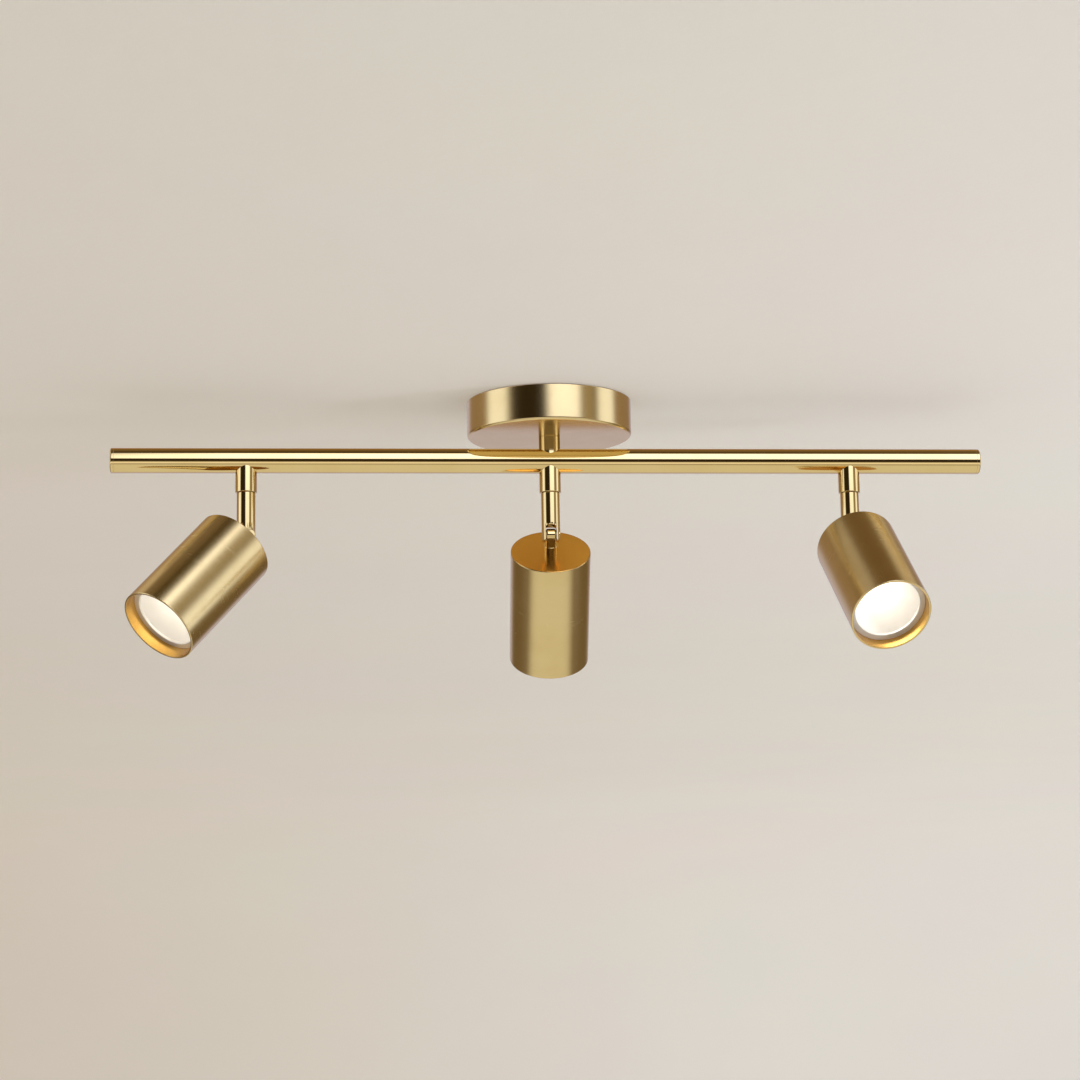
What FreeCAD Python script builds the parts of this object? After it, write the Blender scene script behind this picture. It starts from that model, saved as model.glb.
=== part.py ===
import FreeCAD, Part
import os
import re
import Sketcher

# Ceiling bar light with three swivelling spot heads.
# A round canopy hides a strap that screws to the ceiling box. One short stem hangs from the
# canopy and carries a long round bar. Three ferrules under the bar each hold a turning arm,
# and each arm ends in a fork in which the stud of a cylindrical spot head tilts.
# Frame: millimetres, +Z up, X along the bar, origin on the ceiling plane in line with the stem.

doc = FreeCAD.newDocument("spot_bar")

# ------------------------------------------------------------------ driving dimensions

SIZES = {
    # bar and stem
    "bar_length": 610.0,
    "bar_diameter": 17.5,
    "bar_wall": 1.2,
    "bar_drop": 42.0,              # ceiling to bar axis
    "end_cap": 2.4,                # solid end of the bar beyond the tube
    "end_round": 0.9,
    "end_plug": 8.0,               # depth of the end's plug inside the tube
    "stem_diameter": 15.0,
    "stem_bore": 6.0,
    "stem_thread": 10.0,
    "stem_thread_length": 9.0,     # above the canopy's underside
    "nut_flats": 17.0,
    "nut_height": 5.0,
    # canopy and the strap that holds it
    "canopy_diameter": 115.0,
    "canopy_height": 25.0,
    "canopy_wall": 1.5,
    "canopy_edge": 2.0,
    "canopy_lip": 0.6,
    "strap_width": 20.0,
    "strap_thickness": 2.0,
    "strap_tab": 13.0,             # ceiling to the lower end of the strap's tabs
    "strap_bend": 1.2,
    "strap_gap": 0.4,              # tab corner to the canopy's wall
    "slot_inside": 65.1,           # between the two slots' inner ends
    "slot_edge": 3.0,              # metal between a slot and its tab
    "slot_width": 4.8,
    "wire_hole": 13.0,
    "ground_offset": 19.0,
    "ground_head": 7.5,
    "ground_head_height": 2.4,
    "screw_diameter": 4.0,
    "screw_length": 7.0,
    "screw_socket": 2.0,           # hexagon across flats
    "screw_drop": 8.0,             # ceiling to the side screws' axis
    "thread_fit": 0.05,
    # driver and terminal block inside the canopy
    "driver_length": 56.0,
    "driver_width": 24.0,
    "driver_height": 13.0,
    "driver_gap": 3.0,             # driver and terminal block corners to the canopy's wall
    "driver_round": 2.0,
    "block_length": 30.0,
    "block_width": 14.0,
    "block_height": 12.0,
    "block_pitch": 9.0,
    "block_hole": 3.4,
    "block_screw_depth": 4.0,
    "block_wire_depth": 4.5,
    "lead_diameter": 2.6,
    "lead_height": 9.6,            # leads above the canopy's floor
    "driver_lead_offset": 20.0,
    # ferrules, arms and their swivel
    "head_spacing": 211.5,
    "ferrule_diameter": 15.0,
    "ferrule_length": 14.0,        # below the bar
    "bolt_diameter": 6.0,
    "bolt_bore": 3.0,
    "bolt_reach": 9.0,             # thread inside the ferrule
    "bolt_head": 7.7,
    "bolt_head_height": 2.6,
    "bolt_socket": 4.0,            # hexagon across flats
    "arm_diameter": 13.0,
    "arm_shoulder": 4.0,
    "arm_chamfer": 0.8,
    "pan_gap": 0.15,               # ferrule to arm
    "pan_fit": 0.05,
    "wave_washer": 0.6,
    "stop_pin": 1.2,
    "stop_depth": 1.2,
    "stop_lug": 14.0,              # degrees of the groove left standing
    "stop_fit": 0.2,
    "arm_length": 29.6,            # arm's top to the tilt pivot
    "fork_slot": 8.0,
    "fork_rise": 6.4,              # slot above the pivot
    "fork_round": 2.4,
    "fork_reach": 4.6,             # prongs below the pivot
    "pivot_diameter": 4.0,
    "pivot_fit": 0.04,
    "pivot_head": 6.4,
    "pivot_seat": 1.1,             # prong left under the screw's head
    "pivot_head_height": 1.4,
    "pivot_slot": 0.9,
    "pivot_slot_depth": 0.6,
    "pivot_washer": 8.0,
    "washer_play": 0.05,
    # spot heads
    "tongue_width": 8.6,
    "tongue_thickness": 7.0,
    "tongue_round": 1.4,
    "tongue_length": 7.8,
    "stud_diameter": 10.0,
    "stud_bore": 2.8,
    "neck_length": 13.5,           # pivot to the head's back
    "stud_thread": 8.0,
    "stud_thread_length": 9.0,
    "stud_nut_flats": 13.0,
    "stud_nut_height": 4.0,
    "shell_diameter": 56.0,
    "shell_length": 88.0,
    "shell_wall": 1.5,
    "shell_back": 2.0,
    "shell_back_round": 0.7,
    "shell_rim_round": 0.5,
    "press_fit": 0.04,
    "ring_depth": 9.0,             # rim to the retaining ring
    "ring_thickness": 2.0,
    "ring_width": 4.0,
    "ring_round": 0.5,
    "cone_depth": 22.0,
    "cone_wall": 1.2,
    "cone_flange": 1.0,
    "lens_diameter": 24.0,
    "lens_thickness": 2.0,
    "lens_lip": 0.8,
    "board_thickness": 1.6,
    "chip_diameter": 14.0,
    "chip_height": 1.2,
    "sink_base": 4.0,
    "sink_back_gap": 7.2,          # stud's tail to the heat sink
    "sink_post": 12.0,
    "sink_fin": 1.8,
    "sink_fin_gap": 1.5,           # fins to the shell's wall
    "sink_fin_count": 12,
    "sink_bore": 3.4,
    # rest angles, in degrees: pan from straight forward, tilt from straight down
    "pan_left": -52.0,
    "tilt_left": 46.0,
    "pan_centre": -2.5,
    "tilt_centre": -41.0,
    "pan_right": 9.0,
    "tilt_right": 47.0,
}

sheet = doc.addObject("Spreadsheet::Sheet", "sizes")
for row, (alias, value) in enumerate(SIZES.items(), start=1):
    sheet.set(f"A{row}", alias)
    sheet.set(f"B{row}", str(value))
    sheet.setAlias(f"B{row}", alias)
doc.recompute()

# Places that several pieces share, each worked out from the sheet's cells.
BAR_RADIUS = "bar_diameter / 2"
CANOPY_INSIDE = "(canopy_diameter / 2 - canopy_wall)"
CANOPY_FLOOR = "(canopy_wall - canopy_height)"
STRAP_END = f"(sqrt({CANOPY_INSIDE} ^ 2 - (strap_width / 2) ^ 2) - strap_gap)"
TAB_INSIDE = f"({STRAP_END} - strap_thickness)"
DRIVER_BACK = f"sqrt(({CANOPY_INSIDE} - driver_gap) ^ 2 - (driver_length / 2) ^ 2)"
DRIVER_FRONT = f"({DRIVER_BACK} - driver_width)"
BLOCK_FRONT = f"(-sqrt(({CANOPY_INSIDE} - driver_gap) ^ 2 - (block_length / 2) ^ 2))"
BLOCK_BACK = f"({BLOCK_FRONT} + block_width)"
FERRULE_END = "(-bar_drop - bar_diameter / 2 - ferrule_length)"
SHOULDER = f"({FERRULE_END} - pan_gap - arm_shoulder)"
BOLT_HEAD_TOP = f"({SHOULDER} - wave_washer)"
PIVOT_LEVEL = f"({FERRULE_END} - pan_gap - arm_length)"
PIVOT_SEAT = "(fork_slot / 2 + pivot_seat)"
STOP_RADIUS = "(bolt_diameter / 2 + pan_fit + arm_diameter / 2) / 2"
MOUTH = "(-neck_length - shell_length)"
SHELL_INSIDE = "(shell_diameter / 2 - shell_wall)"
RING_FRONT = f"({MOUTH} + ring_depth)"
RING_BACK = f"({RING_FRONT} + ring_thickness)"
RING_INSIDE = f"({SHELL_INSIDE} - ring_width)"
LENS_FRONT = f"({RING_BACK} + cone_depth)"
LENS_BACK = f"({LENS_FRONT} + lens_thickness)"
BOARD_FRONT = f"({LENS_BACK} + chip_height)"
SINK_FRONT = f"({BOARD_FRONT} + board_thickness)"
SINK_BACK = f"({SINK_FRONT} + sink_base)"
SINK_TOP = "(-neck_length - stud_thread_length - sink_back_gap)"
LEAD_LEVEL = f"({CANOPY_FLOOR} + lead_height)"


def bound(text):
    """Turns each size's name in an expression into its cell."""
    return re.sub(r"\b[a-z]+(?:_[a-z]+)+\b", lambda name: "sizes." + name.group(0), text)


# ------------------------------------------------------------------ drawing and shaping

def tie(sketch, kind, first, second, text):
    """Adds one dimension between two points and binds it to an expression."""
    index = sketch.addConstraint(Sketcher.Constraint(kind, *first, *second, 1.0))
    sketch.setExpression(f"Constraints[{index}]", bound(text))


def draw_outline(sketch, corners):
    """Draws a closed straight-sided outline whose corners are pairs of expressions."""
    first = sketch.GeometryCount
    count = len(corners)
    ring = Part.makeCircle(10).discretize(count + 1)
    for number in range(count):
        sketch.addGeometry(Part.LineSegment(ring[number], ring[number + 1]), False)
    for number in range(count):
        following = first + (number + 1) % count
        sketch.addConstraint(Sketcher.Constraint("Coincident", first + number, 2, following, 1))
    for number, (across, along) in enumerate(corners):
        tie(sketch, "DistanceX", (-1, 1), (first + number, 1), across)
        tie(sketch, "DistanceY", (-1, 1), (first + number, 1), along)


def draw_circle(sketch, across, along, radius):
    """Draws a circle whose centre and radius are expressions."""
    index = sketch.addGeometry(Part.Circle(FreeCAD.Vector(), FreeCAD.Vector(0, 0, 1), 5), False)
    size = sketch.addConstraint(Sketcher.Constraint("Radius", index, 5.0))
    sketch.setExpression(f"Constraints[{size}]", bound(radius))
    tie(sketch, "DistanceX", (-1, 1), (index, 3), across)
    tie(sketch, "DistanceY", (-1, 1), (index, 3), along)


def add_sketch(body, plane, figures, lift="0"):
    """Puts a sketch on one of the body's own planes: a list is an outline, a tuple a circle."""
    sketch = body.newObject("Sketcher::SketchObject", body.Label + "_sketch")
    origin_plane = next(item for item in body.Origin.OriginFeatures if item.Role == plane)
    sketch.AttachmentSupport = (origin_plane, [""])
    sketch.MapMode = "FlatFace"
    sketch.setExpression("AttachmentOffset.Base.z", bound(lift))
    for figure in figures:
        if isinstance(figure, tuple):
            draw_circle(sketch, *figure)
        else:
            draw_outline(sketch, figure)
    return sketch


def new_body(label):
    return doc.addObject("PartDesign::Body", label)


def turned(label, profile):
    """A body turned about its Z axis from a half section of radius and height pairs."""
    body = new_body(label)
    section = add_sketch(body, "XZ_Plane", [profile])
    turn = body.newObject("PartDesign::Revolution", label + "_turn")
    turn.Profile = section
    turn.ReferenceAxis = (section, ["V_Axis"])
    turn.Angle = 360
    return body


def pad(body, plane, figures, length, lift="0", middle=False, backwards=False):
    """Adds material on a plane: one way, or half to each side."""
    feature = body.newObject("PartDesign::Pad", body.Label + "_pad")
    feature.Profile = add_sketch(body, plane, figures, lift)
    feature.setExpression("Length", bound(length))
    feature.Midplane = middle
    feature.Reversed = backwards
    return feature


def cut(body, plane, figures, length=None, lift="0", backwards=False):
    """Cuts on a plane: a given depth one way, or right through both ways."""
    before = solid_volume(body)
    feature = body.newObject("PartDesign::Pocket", body.Label + "_cut")
    feature.Profile = add_sketch(body, plane, figures, lift)
    if length is None:
        feature.Type = "ThroughAll"
        feature.Midplane = True
    else:
        feature.setExpression("Length", bound(length))
        feature.Reversed = backwards
    doc.recompute()
    if solid_volume(body) > before - 0.01:
        raise ValueError(f"{body.Label}: {feature.Label} cuts nothing")
    return feature


def solid_volume(body):
    doc.recompute()
    return body.Shape.Volume


def round_edges(body, radius, test):
    """Rounds the edges of the body that a test picks."""
    doc.recompute()
    edges = body.Shape.Edges
    names = [f"Edge{number}" for number, edge in enumerate(edges, start=1) if test(edge)]
    if not names:
        raise ValueError(f"{body.Label}: no edge to round")
    last = body.Tip
    feature = body.newObject("PartDesign::Fillet", body.Label + "_round")
    feature.Base = (last, names)
    feature.setExpression("Radius", bound(radius))
    doc.recompute()
    return feature


def near(first, second):
    return abs(first - second) < 1e-4


def is_ring(edge, radius, height):
    """True for a full circle about the body's Z axis."""
    curve = edge.Curve
    if not isinstance(curve, Part.Circle) or not edge.isClosed():
        return False
    centre = curve.Center
    on_axis = near(centre.x, 0) and near(centre.y, 0)
    return on_axis and near(curve.Radius, radius) and near(centre.z, height)


def hexagon(flats, across="0", along="0"):
    """Corners of a hexagon from its size across flats."""
    turns = [f"{60 * number}" for number in range(6)]
    corner = f"({flats}) / sqrt(3)"
    return [(f"{across} + {corner} * cos({turn})", f"{along} + {corner} * sin({turn})") for turn in turns]


def rectangle(left, right, low, high):
    return [(left, low), (right, low), (right, high), (left, high)]


def place(item, x="0", y="0", z="0", turn="0", tip="0"):
    """Places a piece: moved to a point, turned about Z, then tipped about its own X."""
    move = f"placement(vector({x}; {y}; {z}); rotation(vector(0; 0; 1); {turn}))"
    lean = f"placement(vector(0; 0; 0); rotation(vector(1; 0; 0); {tip}))"
    item.setExpression("Placement", bound(f"{move} * {lean}"))


def gathered(label, pieces):
    """Several like pieces of one body, such as a set of the same screw, as one sub-part."""
    group = doc.addObject("Part::Compound", label)
    group.Links = pieces
    return group


parts = []

# ------------------------------------------------------------------ strap and canopy

# Steel strap across the ceiling box: a flat web with two slots, and a tab bent down at each end.
strap = new_body("ceiling_strap")
web = "-strap_thickness"
pad(strap, "XZ_Plane", [[
    (f"-{STRAP_END}", "-strap_tab"), (f"-{TAB_INSIDE}", "-strap_tab"), (f"-{TAB_INSIDE}", web),
    (TAB_INSIDE, web), (TAB_INSIDE, "-strap_tab"), (STRAP_END, "-strap_tab"),
    (STRAP_END, "0"), (f"-{STRAP_END}", "0"),
]], "strap_width", middle=True)
round_edges(strap, "strap_bend", lambda edge: near(edge.BoundBox.ZMin, 0) and near(edge.BoundBox.XLength, 0))
near_end = "(slot_inside / 2 + slot_width / 2)"
far_end = f"({TAB_INSIDE} - slot_edge - slot_width / 2)"
for sign in ("-", ""):
    box = rectangle(f"{sign}{near_end}", f"{sign}{far_end}", "-slot_width / 2", "slot_width / 2")
    cut(strap, "XY_Plane", [box])
    for end in (near_end, far_end):
        cut(strap, "XY_Plane", [(f"{sign}{end}", "0", "slot_width / 2")])
cut(strap, "XY_Plane", [("0", "0", "wire_hole / 2")])
cut(strap, "XY_Plane", [("ground_offset", "0", "screw_diameter / 2 + thread_fit")])
cut(strap, "YZ_Plane", [("0", "-screw_drop", "screw_diameter / 2 + thread_fit")])
parts.append(strap)

# Green earth screw from below, flush with the strap's top.
ground = turned("ground_screw", [
    ("0", "0"), ("screw_diameter / 2", "0"), ("screw_diameter / 2", "-strap_thickness"),
    ("ground_head / 2", "-strap_thickness"), ("ground_head / 2", "-strap_thickness - ground_head_height"),
    ("0", "-strap_thickness - ground_head_height"),
])
slot_top = "-strap_thickness - ground_head_height"
cut(ground, "XY_Plane", [rectangle("-ground_head", "ground_head", "-pivot_slot / 2", "pivot_slot / 2")],
    length="pivot_slot_depth", lift=slot_top, backwards=True)
place(ground, x="ground_offset")
parts.append(ground)

# Canopy: a spun brass cup, open to the ceiling, with a soft lower edge and a hole for the stem.
canopy = turned("canopy", [
    ("stem_thread / 2 + thread_fit", "-canopy_height"), ("canopy_diameter / 2", "-canopy_height"),
    ("canopy_diameter / 2", "0"), (CANOPY_INSIDE, "0"), (CANOPY_INSIDE, CANOPY_FLOOR),
    ("stem_thread / 2 + thread_fit", CANOPY_FLOOR),
])
doc.recompute()
cup = canopy.Shape.BoundBox
round_edges(canopy, "canopy_edge", lambda edge: is_ring(edge, cup.XMax, cup.ZMin))
round_edges(canopy, "canopy_lip", lambda edge: is_ring(edge, cup.XMax, cup.ZMax))
cut(canopy, "YZ_Plane", [("0", "-screw_drop", "screw_diameter / 2 + thread_fit")])
parts.append(canopy)

# Two flush socket screws pass through the canopy's side into the strap's tabs.
side_screws = []
for side, turn in (("left", "180"), ("right", "0")):
    screw = new_body("canopy_screw_" + side)
    pad(screw, "YZ_Plane", [("0", "0", "screw_diameter / 2")], "screw_length", backwards=True)
    cut(screw, "YZ_Plane", [hexagon("screw_socket")], length="screw_socket")
    reach = "sqrt((canopy_diameter / 2) ^ 2 - (screw_diameter / 2) ^ 2)"
    sign = "-" if side == "left" else ""
    place(screw, x=f"{sign}{reach}", z="-screw_drop", turn=turn)
    side_screws.append(screw)
parts.append(gathered("canopy_screws", side_screws))

# ------------------------------------------------------------------ driver and wiring

# Potted LED driver, stuck to the canopy's floor behind the stem.
driver = new_body("led_driver")
pad(driver, "XY_Plane", [rectangle("-driver_length / 2", "driver_length / 2", DRIVER_FRONT, DRIVER_BACK)],
    "driver_height", lift=CANOPY_FLOOR)
round_edges(driver, "driver_round", lambda edge: near(edge.Length, edge.BoundBox.ZLength))
parts.append(driver)

# Three-way terminal block in front of the stem: wire holes at the back, screw holes on top.
block = new_body("terminal_block")
pad(block, "XY_Plane", [rectangle("-block_length / 2", "block_length / 2", BLOCK_FRONT, BLOCK_BACK)],
    "block_height", lift=CANOPY_FLOOR)
block_top = f"{CANOPY_FLOOR} + block_height"
for step in ("-block_pitch", "0", "block_pitch"):
    cut(block, "XY_Plane", [(step, f"({BLOCK_FRONT} + {BLOCK_BACK}) / 2", "block_hole / 2")],
        length="block_screw_depth", lift=block_top)
    cut(block, "XZ_Plane", [(step, f"{CANOPY_FLOOR} + block_height / 2", "block_hole / 2")],
        length="block_wire_depth", lift=f"-{BLOCK_BACK}", backwards=True)
parts.append(block)

# Lead from the terminal block to the driver.
driver_lead = new_body("driver_lead")
pad(driver_lead, "XZ_Plane", [("driver_lead_offset", LEAD_LEVEL, "lead_diameter / 2")],
    f"{DRIVER_FRONT} - {BLOCK_BACK}", lift=f"-{DRIVER_FRONT}")
parts.append(driver_lead)

# Harness: one lead along the bar's bore, one drop at each swivel, a riser up the stem and a
# run to the driver's front face.
harness = new_body("bar_harness")
lead = "lead_diameter / 2"
rise = f"{LEAD_LEVEL} + bar_drop"
pad(harness, "YZ_Plane", [("0", "-bar_drop", lead)], "2 * head_spacing", middle=True)
pad(harness, "XY_Plane", [("0", "0", lead)], rise, lift="-bar_drop")
stations = {"left": "-head_spacing", "centre": "0", "right": "head_spacing"}
for across in stations.values():
    pad(harness, "XY_Plane", [(across, "0", lead)], f"-bar_drop - {BOLT_HEAD_TOP} + bolt_head_height",
        lift="-bar_drop", backwards=True)
pad(harness, "XZ_Plane", [("0", LEAD_LEVEL, lead)], DRIVER_FRONT, backwards=True)
parts.append(harness)

# ------------------------------------------------------------------ stem and bar

# Stem: a turned tube coped to sit on the bar, with a threaded neck through the canopy.
stem = turned("stem", [
    ("stem_bore / 2", "-bar_drop"), ("stem_diameter / 2", "-bar_drop"),
    ("stem_diameter / 2", "-canopy_height"), ("stem_thread / 2", "-canopy_height"),
    ("stem_thread / 2", "stem_thread_length - canopy_height"),
    ("stem_bore / 2", "stem_thread_length - canopy_height"),
])
cut(stem, "YZ_Plane", [("0", "-bar_drop", BAR_RADIUS)])
parts.append(stem)

# Hexagon nut that clamps the canopy to the stem.
stem_nut = new_body("stem_nut")
pad(stem_nut, "XY_Plane", [hexagon("nut_flats"), ("0", "0", "stem_thread / 2 + thread_fit")],
    "nut_height", lift=CANOPY_FLOOR)
parts.append(stem_nut)

# Bar: a long round tube, pierced once on top for the stem and under each ferrule for the wires.
bar = new_body("bar")
pad(bar, "YZ_Plane", [("0", "0", BAR_RADIUS), ("0", "0", f"{BAR_RADIUS} - bar_wall")],
    "bar_length - 2 * end_cap", middle=True)
cut(bar, "XY_Plane", [("0", "0", "stem_bore / 2")], length="bar_diameter", backwards=True)
for across in stations.values():
    cut(bar, "XY_Plane", [(across, "0", "stem_bore / 2")], length="bar_diameter")
place(bar, z="-bar_drop")
parts.append(bar)

# End caps: a slightly rounded button with a plug that presses into the tube.
for side, sign, lean in (("left", "-", "-90"), ("right", "", "90")):
    plug_radius = f"{BAR_RADIUS} - bar_wall - press_fit"
    cap = turned("bar_end_" + side, [
        ("0", "-end_plug"), (plug_radius, "-end_plug"), (plug_radius, "0"), (BAR_RADIUS, "0"),
        (BAR_RADIUS, "end_cap"), ("0", "end_cap"),
    ])
    doc.recompute()
    button = cap.Shape.BoundBox
    round_edges(cap, "end_round", lambda edge: is_ring(edge, button.XMax, button.ZMax))
    spot = f"vector({sign}(bar_length / 2 - end_cap); 0; -bar_drop)"
    cap.setExpression("Placement", bound(f"placement({spot}; rotation(vector(0; 1; 0); {lean}))"))
    parts.append(cap)

# ------------------------------------------------------------------ ferrules and swivels

# Each ferrule is a short tube coped to the bar's underside, tapped for the swivel bolt. A pin
# in its lower face stops the arm before the leads inside can twist round.
swivel_bolts = []
wave_washers = []
stop_pins = []
for side, across in stations.items():
    ferrule = turned("ferrule_" + side, [
        ("stem_bore / 2", "-bar_drop"), ("ferrule_diameter / 2", "-bar_drop"),
        ("ferrule_diameter / 2", FERRULE_END), ("bolt_diameter / 2 + thread_fit", FERRULE_END),
        ("bolt_diameter / 2 + thread_fit", f"{FERRULE_END} + bolt_reach"),
        ("stem_bore / 2", f"{FERRULE_END} + bolt_reach"),
    ])
    cut(ferrule, "YZ_Plane", [("0", "-bar_drop", BAR_RADIUS)])
    cut(ferrule, "XY_Plane", [("0", STOP_RADIUS, "stop_pin / 2 + thread_fit")],
        length="2 * stop_depth", lift=FERRULE_END, backwards=True)
    place(ferrule, x=across)
    parts.append(ferrule)

    # Hollow socket-head bolt: the arm hangs on its head and turns about its shank.
    bolt = turned("swivel_bolt_" + side, [
        ("bolt_bore / 2", f"{FERRULE_END} + bolt_reach"),
        ("bolt_diameter / 2", f"{FERRULE_END} + bolt_reach"),
        ("bolt_diameter / 2", BOLT_HEAD_TOP), ("bolt_head / 2", BOLT_HEAD_TOP),
        ("bolt_head / 2", f"{BOLT_HEAD_TOP} - bolt_head_height"),
        ("bolt_bore / 2", f"{BOLT_HEAD_TOP} - bolt_head_height"),
    ])
    cut(bolt, "XY_Plane", [hexagon("bolt_socket")], length="bolt_head_height / 2",
        lift=f"{BOLT_HEAD_TOP} - bolt_head_height", backwards=True)
    place(bolt, x=across)
    swivel_bolts.append(bolt)

    # Spring washer between the arm's shoulder and the bolt's head, drawn at its loaded height.
    washer = turned("wave_washer_" + side, [
        ("bolt_diameter / 2 + thread_fit", BOLT_HEAD_TOP), ("bolt_head / 2", BOLT_HEAD_TOP),
        ("bolt_head / 2", f"{SHOULDER} - pan_fit"), ("bolt_diameter / 2 + thread_fit", f"{SHOULDER} - pan_fit"),
    ])
    place(washer, x=across)
    wave_washers.append(washer)

    pin = new_body("stop_pin_" + side)
    pad(pin, "XY_Plane", [("0", STOP_RADIUS, "stop_pin / 2")], "3 * stop_depth - stop_fit",
        lift=f"{FERRULE_END} - stop_depth + stop_fit")
    place(pin, x=across)
    stop_pins.append(pin)
parts.append(gathered("swivel_bolts", swivel_bolts))
parts.append(gathered("wave_washers", wave_washers))
parts.append(gathered("stop_pins", stop_pins))


# ------------------------------------------------------------------ arms

def at_arm(item, side):
    """Hangs a piece drawn about the pivot on its station, turned by the rest pan angle."""
    place(item, x=stations[side], z=PIVOT_LEVEL, turn=f"pan_{side}")


def at_head(item, side):
    """Hangs a piece drawn about the pivot on its station, panned and tilted."""
    place(item, x=stations[side], z=PIVOT_LEVEL, turn=f"pan_{side}", tip=f"-tilt_{side}")


def make_arm(side):
    """Turned arm: a shoulder on the swivel bolt, a bore for its head, and a slotted fork."""
    radius = "arm_diameter / 2"
    arm = turned("arm_" + side, [
        ("bolt_diameter / 2 + pan_fit", "arm_length"), (radius, "arm_length"), (radius, "arm_chamfer - fork_reach"),
        (f"{radius} - arm_chamfer", "-fork_reach"), ("fork_slot / 2", "-fork_reach"),
        ("fork_slot / 2", "arm_length - arm_shoulder"),
        ("bolt_diameter / 2 + pan_fit", "arm_length - arm_shoulder"),
    ])
    # stop groove in the top face, all but a lug opposite the ferrule's pin
    groove = arm.newObject("PartDesign::Groove", "arm_groove_" + side)
    inner = f"{STOP_RADIUS} - stop_pin / 2 - stop_fit"
    outer = f"{STOP_RADIUS} + stop_pin / 2 + stop_fit"
    groove.Profile = add_sketch(arm, "YZ_Plane", [rectangle(inner, outer, "arm_length - stop_depth", "arm_length")])
    groove.ReferenceAxis = (groove.Profile[0], ["V_Axis"])
    groove.setExpression("Angle", bound("360 - stop_lug"))
    groove.Midplane = True
    # fork slot with rounded upper corners, then the pivot hole and the screw head's seat
    gap = "fork_slot / 2"
    corner = f"{gap} - fork_round"
    shelf = "fork_rise - fork_round"
    slot = [(f"-({gap})", "-2 * fork_reach"), (gap, "-2 * fork_reach"), (gap, shelf), (f"-({gap})", shelf)]
    cut(arm, "XZ_Plane", [slot])
    cut(arm, "XZ_Plane", [rectangle(f"-({corner})", corner, shelf, "fork_rise")])
    for sign in ("-", ""):
        cut(arm, "XZ_Plane", [(f"{sign}({corner})", shelf, "fork_round")])
    cut(arm, "YZ_Plane", [("0", "0", "pivot_diameter / 2 + thread_fit")])
    cut(arm, "YZ_Plane", [("0", "0", "pivot_head / 2 + thread_fit")], length=radius, lift=PIVOT_SEAT,
        backwards=True)
    at_arm(arm, side)
    return arm


def make_pivot_screw(side):
    """Slotted shoulder screw across the fork, its head let into one prong."""
    screw = new_body("pivot_screw_" + side)
    pad(screw, "YZ_Plane", [("0", "0", "pivot_head / 2")], "pivot_head_height", lift=PIVOT_SEAT)
    pad(screw, "YZ_Plane", [("0", "0", "pivot_diameter / 2")], f"{PIVOT_SEAT} + arm_diameter / 2 - pan_gap",
        lift=PIVOT_SEAT, backwards=True)
    cut(screw, "YZ_Plane", [rectangle("-pivot_head", "pivot_head", "-pivot_slot / 2", "pivot_slot / 2")],
        length="pivot_slot_depth", lift=f"{PIVOT_SEAT} + pivot_head_height")
    at_arm(screw, side)
    return screw


def make_pivot_washers(side):
    """Two friction washers that fill the fork on each side of the tongue."""
    thickness = "(fork_slot - tongue_thickness) / 2 - 2 * washer_play"
    pair = []
    for number, sign in ((1, "-"), (2, "")):
        washer = new_body(f"pivot_washer_{side}_{number}")
        ring = [("0", "0", "pivot_washer / 2"), ("0", "0", "pivot_diameter / 2 + pivot_fit")]
        pad(washer, "YZ_Plane", ring, thickness, lift=f"{sign}(fork_slot / 2 - washer_play)",
            backwards=number == 2)
        at_arm(washer, side)
        pair.append(washer)
    return gathered("pivot_washers_" + side, pair)


for side in stations:
    parts.append(make_arm(side))
    parts.append(make_pivot_screw(side))
    parts.append(make_pivot_washers(side))


# ------------------------------------------------------------------ spot heads
# Each head is drawn pointing straight down with the tilt pivot at its origin.

def make_stud(side):
    """Knuckle stud: a rounded tongue on the pivot, a round neck and a threaded tail."""
    stud = new_body("knuckle_" + side)
    pad(stud, "YZ_Plane", [("0", "0", "tongue_width / 2")], "tongue_thickness", middle=True)
    pad(stud, "YZ_Plane", [rectangle("-tongue_width / 2", "tongue_width / 2", "-tongue_length", "0")],
        "tongue_thickness", middle=True)
    doc.recompute()
    low = stud.Shape.BoundBox.ZMin

    def on_side(edge):
        box = edge.BoundBox
        return near(box.XLength, 0) and box.ZLength + box.YLength > 0.5 and not near(box.ZMax, low)

    round_edges(stud, "tongue_round", on_side)
    pad(stud, "XY_Plane", [("0", "0", "stud_diameter / 2")], "neck_length - tongue_length",
        lift="-tongue_length", backwards=True)
    pad(stud, "XY_Plane", [("0", "0", "stud_thread / 2")], "stud_thread_length", lift="-neck_length",
        backwards=True)
    cut(stud, "YZ_Plane", [("0", "0", "pivot_diameter / 2 + pivot_fit")])
    exit_level = "-pivot_diameter / 2 - stud_bore"
    tail = "neck_length + stud_thread_length"
    cut(stud, "XY_Plane", [("0", "0", "stud_bore / 2")], length=f"{tail} + ({exit_level})",
        lift=f"-({tail})", backwards=True)
    cut(stud, "XZ_Plane", [("0", exit_level, "stud_bore / 2")], length="tongue_width", backwards=True)
    return stud


def make_stud_nut(side):
    """Nut that clamps the shell's back to the stud."""
    nut = new_body("stud_nut_" + side)
    pad(nut, "XY_Plane", [hexagon("stud_nut_flats"), ("0", "0", "stud_thread / 2 + thread_fit")],
        "stud_nut_height", lift="-neck_length - shell_back", backwards=True)
    return nut


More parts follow.
